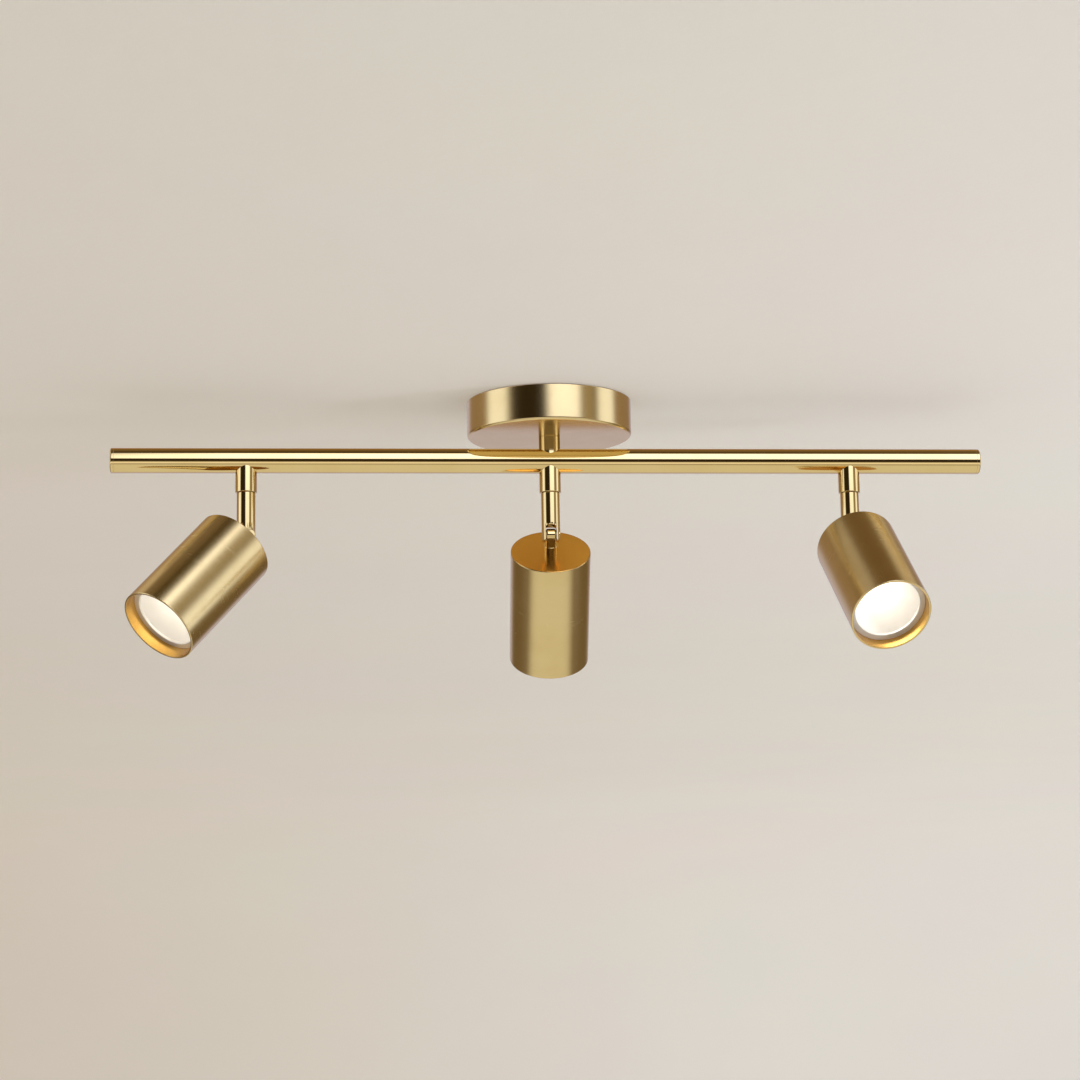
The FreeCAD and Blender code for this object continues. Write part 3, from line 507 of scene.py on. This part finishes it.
ARM_TOP = 29.6                    # above the pivot
ARM_RADIUS = 6.5
ARM_BORE = 4.0
PRONG_REACH = -4.6                # below the pivot
SLOT_TOP = 6.4
arm = turn_on_lathe("arm", [
    (3.05, ARM_TOP, 0.2), (ARM_RADIUS, ARM_TOP, 0.45), (ARM_RADIUS, 8, 0),
    (ARM_RADIUS, PRONG_REACH, 0.8), (ARM_BORE, PRONG_REACH, 0.2), (ARM_BORE, 8, 0),
    (ARM_BORE, ARM_TOP - 4, 0), (3.05, ARM_TOP - 4, 0)], facets=128)
slot = block((8, 20, 20), (0, 0, SLOT_TOP - 10))
bevel_where(slot, 2.4, 8, lambda one, two: min(one.z, two.z) > SLOT_TOP - 0.4
            and abs(one.x - two.x) < 0.1)
carve(arm, slot)
carve(arm, rod(2.05, 20, "X", (0, 0, 0), 64))
carve(arm, rod(3.25, 4, "X", (7.1, 0, 0), 64))
apply_modifier(arm, "BEVEL", width=0.18, segments=2, limit_method="ANGLE",
               angle_limit=math.radians(50), use_clamp_overlap=True, miter_outer="MITER_SHARP")
smooth(arm)

SCREW_SEAT = 5.1                  # the head's underside, out from the pivot
SLOT_TURN = 28                    # degrees, how the driver slot was left
pin = turn_on_lathe("pivot", [
    (0, -11.45, 0), (2, -11.45, 0.4), (2, 0, 0), (3.2, 0, 0.1), (3.2, 1.4, 0.45), (0, 1.4, 0)],
    facets=96, closed=False)
carve(pin, block((0.9, 8, 1.2), (0, 0, 1.4)))
smooth(pin)
for side in STATIONS:
    place = arm_place(side)
    turned_arm = copy_of(arm, "fork_arm_" + side)
    settle(turned_arm, place, "arm_" + side, "polished_brass",
           buffed("polished_arm_" + side, place, 0.07), "arm_" + side)
    screw = copy_of(pin, "shoulder_screw_" + side)
    across_fork = place @ Matrix.Translation((SCREW_SEAT * MM, 0, 0)) @ ALONG_X
    screw_finish = brass("polished_screw_" + side, GOLD_LIGHT, GOLD_DEEP, 0.14, across_fork,
                         3600.0, 0.01, 0.02)
    settle(screw, across_fork @ Matrix.Rotation(math.radians(SLOT_TURN), 4, "Z"), "arm_" + side,
           "polished_brass", screw_finish, "pivot_screw_" + side)
bpy.data.objects.remove(arm, do_unlink=True)
bpy.data.objects.remove(pin, do_unlink=True)

# ---------------------------------------------------------------- knuckle studs
# Polished brass stud with a rounded tongue that tilts in the fork; its neck meets the head's
# back, and its threaded tail and wire hole are inside.


def head_place(side):
    """The arm's place, tipped by the rest tilt angle; the head points down its own Z."""
    return arm_place(side) @ Matrix.Rotation(math.radians(-TILT[side]), 4, "X")


TONGUE_RADIUS = 4.3
TONGUE_HALF = 3.5                 # half its thickness
TONGUE_FOOT = -9.0
tongue = rod(TONGUE_RADIUS, 2 * TONGUE_HALF, "X", (0, 0, 0), 96)
only(tongue)
bpy.ops.object.mode_set(mode="EDIT")
bpy.ops.mesh.select_mode(type="FACE")
bpy.ops.mesh.select_all(action="DESELECT")
bpy.ops.object.mode_set(mode="OBJECT")
for face in tongue.data.polygons:
    face.select = face.normal.z < -0.001 and abs(face.normal.x) < 0.5
bpy.ops.object.mode_set(mode="EDIT")
bpy.ops.mesh.extrude_region_move(TRANSFORM_OT_translate={"value": (0, 0, -12)})
bpy.ops.transform.resize(value=(1, 1, 0), center_override=(0, 0, TONGUE_FOOT))
bpy.ops.mesh.select_all(action="SELECT")
bpy.ops.mesh.dissolve_limited(angle_limit=math.radians(1))
bpy.ops.object.mode_set(mode="OBJECT")
low = min(corner.co.z for corner in tongue.data.vertices)
bevel_where(tongue, 1.4, 8, lambda one, two: abs(abs(one.x) - TONGUE_HALF) < 0.01
            and abs(one.x - two.x) < 0.01 and not (one.z < low + 0.1 and two.z < low + 0.1)
            and (one.z > -0.01 or abs(abs(one.y) - TONGUE_RADIUS) < 0.01)
            and (two.z > -0.01 or abs(abs(two.y) - TONGUE_RADIUS) < 0.01))
SHELL_BACK = -13.5                # from the tilt pivot, down the head's own axis
neck = turn_on_lathe("neck", [
    (0, -7.8, 0), (5, -7.8, 0.35), (5, SHELL_BACK, 0), (4, SHELL_BACK, 0),
    (4, SHELL_BACK - 9, 0.5), (0, SHELL_BACK - 9, 0)], facets=128, closed=False)
stud = tongue
stud.name = stud.data.name = "stud"
carve(stud, neck, "UNION")
carve(stud, rod(2.04, 12, "X", (0, 0, 0), 64))
carve(stud, rod(1.4, 12, "Y", (0, 6, -4.8), 48))
smooth(stud)
for side in STATIONS:
    knuckle = copy_of(stud, "knuckle_stud_" + side)
    settle(knuckle, head_place(side), "head_" + side, "polished_brass",
           buffed("polished_stud_" + side, head_place(side)), "knuckle_" + side)
bpy.data.objects.remove(stud, do_unlink=True)

# ---------------------------------------------------------------- spot shells
# Spun brass cylinder, 56 mm across and 88 mm long, with a closed flat back and an open mouth,
# brushed satin outside like the canopy; the flat back and the inside are painted a deeper orange
# brass: a painted warm reflection on the back and a painted lamp glow on the inside.

# Orange brass painted on the back and inside: painted warm reflection and painted lamp glow.
PAINTED_GLOW_BRASS = (0.82, 0.49, 0.13, 1)
SHELL_RADIUS = 28.0
SHELL_BORE = 26.5
SHELL_MOUTH = SHELL_BACK - 88.0


def from_axis(tree, own):
    """A piece's own coordinates taken apart, and the distance from its axis."""
    parts = add_node(tree, "ShaderNodeSeparateXYZ", Vector=own)
    flat = add_node(tree, "ShaderNodeCombineXYZ", X=parts.outputs["X"], Y=parts.outputs["Y"])
    return parts, add_node(tree, "ShaderNodeVectorMath", {"operation": "LENGTH"},
                           Vector=flat.outputs[0])


def paint_inside_glow_and_back_reflection(material, place, wall, back):
    """Deeper orange brass painted inside the wall and on the flat back: a painted warm reflection on the
    back and a painted lamp glow on the inside.
    """
    tree = material.node_tree
    shader = tree.nodes["Principled BSDF"]
    outer = shader.inputs["Base Color"].links[0].from_socket
    parts, radius = from_axis(tree, own_place(tree, place))
    inner = add_node(tree, "ShaderNodeMapRange", Value=radius.outputs["Value"],
                     From_Min=(wall + 0.3) * MM, From_Max=(wall + 0.1) * MM)
    above = add_node(tree, "ShaderNodeMapRange", Value=parts.outputs["Z"],
                     From_Min=(back - 0.5) * MM, From_Max=(back - 0.1) * MM)
    either = add_node(tree, "ShaderNodeMath", {"operation": "MAXIMUM"}, _0=inner.outputs[0],
                      _1=above.outputs[0])
    # Painted warm reflection on the back and painted lamp glow inside.
    painted_orange = add_node(tree, "ShaderNodeMix", {"data_type": "RGBA"}, Factor=either.outputs[0],
                    _6=outer, _7=PAINTED_GLOW_BRASS)
    tree.links.new(painted_orange.outputs[2], shader.inputs["Base Color"])


can = turn_on_lathe("spot_shell", [
    (4.05, SHELL_BACK, 0.2), (SHELL_RADIUS, SHELL_BACK, 0.7), (SHELL_RADIUS, SHELL_MOUTH, 0.5),
    (SHELL_BORE, SHELL_MOUTH, 0.35), (SHELL_BORE, SHELL_BACK - 2, 1.0),
    (4.05, SHELL_BACK - 2, 0)], facets=192, steps=6)
smooth(can)
for side in STATIONS:
    shell = copy_of(can, "spot_shell_" + side)
    finish = brass("satin_shell_" + side, SATIN_LIGHT, SATIN_DEEP, 0.25, head_place(side), 2600.0,
                   0.012, 0.015)
    # The back and the inside carry a painted warm reflection and a painted lamp glow.
    paint_inside_glow_and_back_reflection(finish, head_place(side), SHELL_BORE, SHELL_BACK)
    settle(shell, head_place(side), "head_" + side, "satin_brass", finish, "shell_" + side)
bpy.data.objects.remove(can, do_unlink=True)

# ---------------------------------------------------------------- rings, cones and diffusers
# Set back in each mouth: a bare aluminium retaining ring, a white moulded cone behind it, and
# an opal disc over the light board. The disc glows and lights the cone and the shell's inside;
# the cone also carries a faint painted glow that stands in for the disc's light on it.


def lamp_and_painted_glow(name, base, tint, strength, rough, place, reach):
    """White moulding with a fine grain and an emission that falls off to its edge: the lamp's own glow on
    the opal disc, a painted glow of reflected lamp light on the cone.
    """
    material = bpy.data.materials.new(name)
    material.use_nodes = True
    tree = material.node_tree
    shader = tree.nodes["Principled BSDF"]
    own = own_place(tree, place)
    handled = placed(tree, handling, Vector=own, Cloud_Size=60.0)
    deeper = tuple(part * 0.94 for part in base[:3]) + (1,)
    tone = add_node(tree, "ShaderNodeMix", {"data_type": "RGBA"}, Factor=handled.outputs["Cloud"],
                    _6=base, _7=deeper)
    tree.links.new(tone.outputs[2], shader.inputs["Base Color"])
    gloss = add_node(tree, "ShaderNodeMapRange", Value=handled.outputs["Smudge"],
                     To_Min=rough - 0.05, To_Max=rough + 0.05)
    tree.links.new(gloss.outputs[0], shader.inputs["Roughness"])
    radius = from_axis(tree, own)[1]
    fall = add_node(tree, "ShaderNodeMapRange", {"interpolation_type": "SMOOTHSTEP"},
                    Value=radius.outputs["Value"], From_Min=reach * 0.5, From_Max=reach,
                    To_Min=1.0, To_Max=0.72)
    dimmer = tuple(part * 0.72 for part in tint[:3]) + (1,)
    glow = add_node(tree, "ShaderNodeMix", {"data_type": "RGBA"}, Factor=fall.outputs[0],
                    _6=dimmer, _7=tint)
    tree.links.new(glow.outputs[2], shader.inputs["Emission Color"])
    shader.inputs["Emission Strength"].default_value = strength
    grain = add_node(tree, "ShaderNodeTexNoise", Vector=own, Scale=1800.0, Detail=2.0)
    relief = add_node(tree, "ShaderNodeBump", Strength=0.2, Distance=0.00005,
                      Height=grain.outputs["Fac"])
    tree.links.new(relief.outputs[0], shader.inputs["Normal"])
    return material


RING_RADIUS = 26.46
RING_BACK = -90.5
LENS_BACK = -66.5
ring = turn_on_lathe("front_ring", [
    (22.5, RING_BACK - 2, 0.5), (RING_RADIUS, RING_BACK - 2, 0.2), (RING_RADIUS, RING_BACK, 0),
    (22.5, RING_BACK, 0)], facets=192)
smooth(ring)
blasted = plain_finish("blasted_aluminium", (0.86, 0.85, 0.83, 1), (0.76, 0.75, 0.73, 1),
                       0.55, 0.6, 40.0, 2400.0, 0.00002, 0.05)
cone = turn_on_lathe("cone", [
    (22.5, RING_BACK, 0.2), (RING_RADIUS, RING_BACK, 0), (RING_RADIUS, RING_BACK + 1, 0),
    (23.7, RING_BACK + 1, 0.4), (13.2, LENS_BACK - 3.2, 0.6), (13.2, LENS_BACK, 0),
    (12.05, LENS_BACK, 0), (12.05, LENS_BACK - 2, 0), (11.2, LENS_BACK - 2, 0),
    (11.2, LENS_BACK - 2.8, 0.25)], facets=192, steps=4)
smooth(cone)
disc = turn_on_lathe("disc", [
    (0, LENS_BACK - 2, 0), (12, LENS_BACK - 2, 0.25), (12, LENS_BACK, 0.1), (0, LENS_BACK, 0)],
    facets=128, closed=False)
smooth(disc)
WARM_WHITE = (1.0, 0.93, 0.80, 1)
for side in STATIONS:
    place = head_place(side)
    front_ring = copy_of(ring, "front_ring_" + side)
    settle(front_ring, place, "head_" + side, "bare_aluminium", blasted, "retaining_ring_" + side)
    white_cone = copy_of(cone, "white_cone_" + side)
    # The cone is no lamp: its faint emission is a painted glow of the disc's light.
    finish = lamp_and_painted_glow("cone_painted_glow_" + side, (0.88, 0.87, 0.84, 1), WARM_WHITE, 0.24, 0.4, place, 0.024)
    settle(white_cone, place, "head_" + side, "reflector_white", finish, "reflector_" + side)
    opal = copy_of(disc, "opal_disc_" + side)
    finish = lamp_and_painted_glow("opal_glow_" + side, (0.9, 0.9, 0.88, 1), WARM_WHITE, 4.1, 0.35, place, 0.012)
    settle(opal, place, "head_" + side, "lens_opal", finish, "diffuser_" + side)
for master in (ring, cone, disc):
    bpy.data.objects.remove(master, do_unlink=True)

# ---------------------------------------------------------------- room, light and camera
# A pale plaster room swept in one piece: ceiling, back wall and floor. It is open from behind,
# so the light can be seen from any side. Its faint glow carries painted light: darker and warmer
# to the left, paler to the right, brighter towards the back wall. Soft boxes and dark screens
# stand round the room.

CEILING = 0.0006
FLOOR = -1.25
FRONT = -4.5
BACK = 4.2
SWEEP = 1.0                       # reach of both curved corners
SWEEP_RISE = 0.6                  # height of both curved corners
ROOM_WIDTH = 12.0
outline = [(FRONT, CEILING)]
for middle, first in ((CEILING - SWEEP_RISE, 90), (FLOOR + SWEEP_RISE, 0)):
    for step in range(13):
        angle = math.radians(first - 7.5 * step)
        outline.append((BACK - SWEEP + SWEEP * math.cos(angle),
                        middle + SWEEP_RISE * math.sin(angle)))
outline.append((FRONT, FLOOR))
room = draw_line("plaster_room", [(-ROOM_WIDTH / 2, along, up) for along, up in outline])
bpy.ops.mesh.extrude_region_move(TRANSFORM_OT_translate={"value": (ROOM_WIDTH, 0, 0)})
bpy.ops.object.mode_set(mode="OBJECT")
only(room)
bpy.ops.object.shade_smooth()
inside = sum(face.normal.z * face.area for face in room.data.polygons
             if face.center.z > CEILING - 0.001)
if inside > 0:
    room.data.flip_normals()
room.visible_glossy = False

plaster = bpy.data.materials.new("pale_plaster")
plaster.use_nodes = True
tree = plaster.node_tree
shader = tree.nodes["Principled BSDF"]
where = add_node(tree, "ShaderNodeTexCoord").outputs["Object"]
mottle = add_node(tree, "ShaderNodeTexNoise", Vector=where, Scale=1.6, Detail=5.0, Roughness=0.55)
parts = add_node(tree, "ShaderNodeSeparateXYZ", Vector=where)
across = parts.outputs["X"]
# Painted side light: the plaster is painted darker and warmer on the left and paler on the right, where
# the key light comes from.
painted_side_light = add_node(tree, "ShaderNodeMapRange", {"interpolation_type": "SMOOTHSTEP"}, Value=across,
                From_Min=-1.2, From_Max=1.2)
painted_side_shade = add_node(tree, "ShaderNodeMix", {"data_type": "RGBA"}, Factor=painted_side_light.outputs[0],
                _6=(0.68, 0.635, 0.572, 1), _7=(0.76, 0.740, 0.712, 1))
tone = add_node(tree, "ShaderNodeMix", {"data_type": "RGBA", "blend_type": "MULTIPLY"}, _0=0.07,
                _6=painted_side_shade.outputs[2], _7=mottle.outputs["Color"])
tree.links.new(tone.outputs[2], shader.inputs["Base Color"])
# Painted light: the glow rises from the ceiling over the light towards the back wall.
painted_depth_light = add_node(tree, "ShaderNodeMapRange", {"interpolation_type": "SMOOTHSTEP"},
                Value=parts.outputs["Y"], From_Min=0.3, From_Max=3.6, To_Min=0.83)
fill = add_node(tree, "ShaderNodeVectorMath", {"operation": "SCALE"}, _0=tone.outputs[2],
                Scale=painted_depth_light.outputs[0])
tree.links.new(fill.outputs[0], shader.inputs["Emission Color"])
shader.inputs["Emission Strength"].default_value = 0.33
shader.inputs["Roughness"].default_value = 0.9
shader.inputs["Specular IOR Level"].default_value = 0.1
trowel = add_node(tree, "ShaderNodeTexNoise", Vector=where, Scale=9.0, Detail=6.0, Roughness=0.6)
relief = add_node(tree, "ShaderNodeBump", Strength=0.12, Distance=0.01, Height=trowel.outputs["Fac"])
tree.links.new(relief.outputs[0], shader.inputs["Normal"])
clear = add_node(tree, "ShaderNodeBsdfTransparent")
side_seen = add_node(tree, "ShaderNodeNewGeometry").outputs["Backfacing"]
show = add_node(tree, "ShaderNodeMixShader", _0=side_seen, _1=shader.outputs[0], _2=clear.outputs[0])
tree.links.new(show.outputs[0], tree.nodes["Material Output"].inputs["Surface"])
room.data.materials.append(plaster)

# The light around the object: a dim brown surround, tall soft boxes left and right, one in
# front and above, and dark screens between them. Azimuth 0 is straight in front, + to the right.
world = bpy.data.worlds.new("studio")
bpy.context.scene.world = world
world.use_nodes = True
sky = world.node_tree
sky.nodes.clear()
direction = add_node(sky, "ShaderNodeTexCoord").outputs["Generated"]
parts = add_node(sky, "ShaderNodeSeparateXYZ", Vector=direction)
toward = add_node(sky, "ShaderNodeMath", {"operation": "MULTIPLY"}, _0=parts.outputs["Y"], _1=-1.0)
azimuth = add_node(sky, "ShaderNodeMath", {"operation": "ARCTAN2"}, _0=parts.outputs["X"],
                   _1=toward.outputs[0])
azimuth = add_node(sky, "ShaderNodeMath", {"operation": "DEGREES"}, _0=azimuth.outputs[0]).outputs[0]
height = add_node(sky, "ShaderNodeMath", {"operation": "ARCSINE"}, _0=parts.outputs["Z"])
height = add_node(sky, "ShaderNodeMath", {"operation": "DEGREES"}, _0=height.outputs[0]).outputs[0]


def span(value, low, high, soft):
    """1 between two angles, falling to 0 over a soft edge outside them."""
    rise = add_node(sky, "ShaderNodeMapRange", {"interpolation_type": "SMOOTHSTEP"}, Value=value,
                    From_Min=low - soft, From_Max=low + soft)
    fall = add_node(sky, "ShaderNodeMapRange", {"interpolation_type": "SMOOTHSTEP"}, Value=value,
                    From_Min=high - soft, From_Max=high + soft, To_Min=1.0, To_Max=0.0)
    both = add_node(sky, "ShaderNodeMath", {"operation": "MULTIPLY"}, _0=rise.outputs[0],
                    _1=fall.outputs[0])
    return both.outputs[0]


def outside(value, low, high, soft):
    """1 outside two angles, 0 between them."""
    inner = span(value, low, high, soft)
    return add_node(sky, "ShaderNodeMath", {"operation": "SUBTRACT"}, _0=1.0, _1=inner).outputs[0]


def lay_over(under, colour, mask):
    """Lays a plain colour over what is there, where the mask is."""
    return add_node(sky, "ShaderNodeMix", {"data_type": "RGBA"}, Factor=mask, _6=under,
                    _7=colour + (1,)).outputs[2]


def screen(under, colour, sides, heights, around=span):
    """A window of direction; sides and heights are (from, to, soft edge) in degrees."""
    mask = add_node(sky, "ShaderNodeMath", {"operation": "MULTIPLY"},
                    _0=around(azimuth, *sides), _1=span(height, *heights))
    return lay_over(under, colour, mask.outputs[0])


SURROUND = (0.17, 0.12, 0.065)
BACK_ROOM = (0.31, 0.215, 0.135)
BACK_WALL = (0.56, 0.51, 0.62)
COVE = (0.62, 0.52, 0.40)
BACK_COVE = (0.34, 0.18, 0.05)
UPPER_BACK = (0.17, 0.11, 0.055)
BLACK_SCREEN = (0.028, 0.019, 0.008)
BROWN_TOP = (0.09, 0.06, 0.02)
BROWN_SIDE = (0.36, 0.28, 0.17)
FLOOR_LIGHT = (0.73, 0.69, 0.61)
FRONT_EDGE = (0.98, 0.92, 0.86)
FRONT_BOX = (1.90, 1.92, 2.25)
SIDE_BOX = (1.14, 1.17, 1.32)
surround = add_node(sky, "ShaderNodeRGB")
surround.outputs[0].default_value = SURROUND + (1,)
light = surround.outputs[0]
light = screen(light, BACK_ROOM, (-100, 100, 6), (3, 30, 6), outside)
light = screen(light, BACK_WALL, (-152, 152, 8), (-42, 22, 10), outside)
light = screen(light, COVE, (-118, 124, 6), (33, 60, 6), outside)
light = screen(light, BACK_COVE, (-152, 152, 8), (30, 95, 6), outside)
light = screen(light, UPPER_BACK, (-100, 100, 20), (64, 95, 4), outside)
light = screen(light, BLACK_SCREEN, (-58, 60, 5), (-14, 95, 5))
light = screen(light, BROWN_TOP, (-40, 60, 10), (66, 95, 4))
light = screen(light, BROWN_SIDE, (44, 60, 4), (-14, 60, 5))
light = lay_over(light, FLOOR_LIGHT, span(height, -95, -42, 9))
light = screen(light, FRONT_EDGE, (-60, 60, 12), (-36, -20, 5))
light = screen(light, FRONT_BOX, (-6, 40, 6), (10, 62, 5))
light = screen(light, SIDE_BOX, (-100, -64, 6), (-25, 62, 8))
light = screen(light, SIDE_BOX, (68, 98, 5), (-25, 62, 8))
ray = add_node(sky, "ShaderNodeLightPath")
seen = add_node(sky, "ShaderNodeMix", {"data_type": "RGBA"}, Factor=ray.outputs["Is Camera Ray"],
                _6=light, _7=(0.66, 0.58, 0.47, 1))
glow = add_node(sky, "ShaderNodeBackground", Color=seen.outputs[2], Strength=1.0)
add_node(sky, "ShaderNodeOutputWorld", Surface=glow.outputs[0])


def soft_box(name, where, toward, size, power, colour):
    """A large square lamp, out of sight and out of the reflections, that models the shadows."""
    lamp = bpy.data.lights.new(name, "AREA")
    lamp.shape = "SQUARE"
    lamp.size = size
    lamp.energy = power
    lamp.color = colour
    box = bpy.data.objects.new(name, lamp)
    box.location = where
    box.rotation_euler = (Vector(toward) - Vector(where)).to_track_quat("-Z", "Y").to_euler()
    bpy.context.collection.objects.link(box)
    box.visible_camera = False
    box.visible_glossy = False


soft_box("key_light", (2.2, -0.9, -0.55), (0, 0, -0.02), 0.35, 18.5, (0.76, 0.87, 1.0))

scene = bpy.context.scene
scene.view_settings.view_transform = "Standard"
scene.view_settings.look = "None"
scene.view_settings.exposure = 0.0
lens = bpy.data.cameras.new("lens")
lens.lens = 96.94                 # mm, on a 36 mm sensor
lens.sensor_width = 36.0
lens.clip_start = 0.05
lens.clip_end = 100.0
camera = bpy.data.objects.new("camera", lens)
bpy.context.collection.objects.link(camera)
CAMERA_SPOT = (-0.1736, -1.984, -0.4725)
LOOK_UP = 10.65                   # degrees, as are the next two
LOOK_RIGHT = 4.78
ROLL = -0.94
aim = Euler((math.radians(90 + LOOK_UP), 0, math.radians(-LOOK_RIGHT))).to_matrix().to_4x4()
camera.matrix_world = (Matrix.Translation(CAMERA_SPOT) @ aim
                       @ Matrix.Rotation(math.radians(ROLL), 4, "Z"))
scene.camera = camera
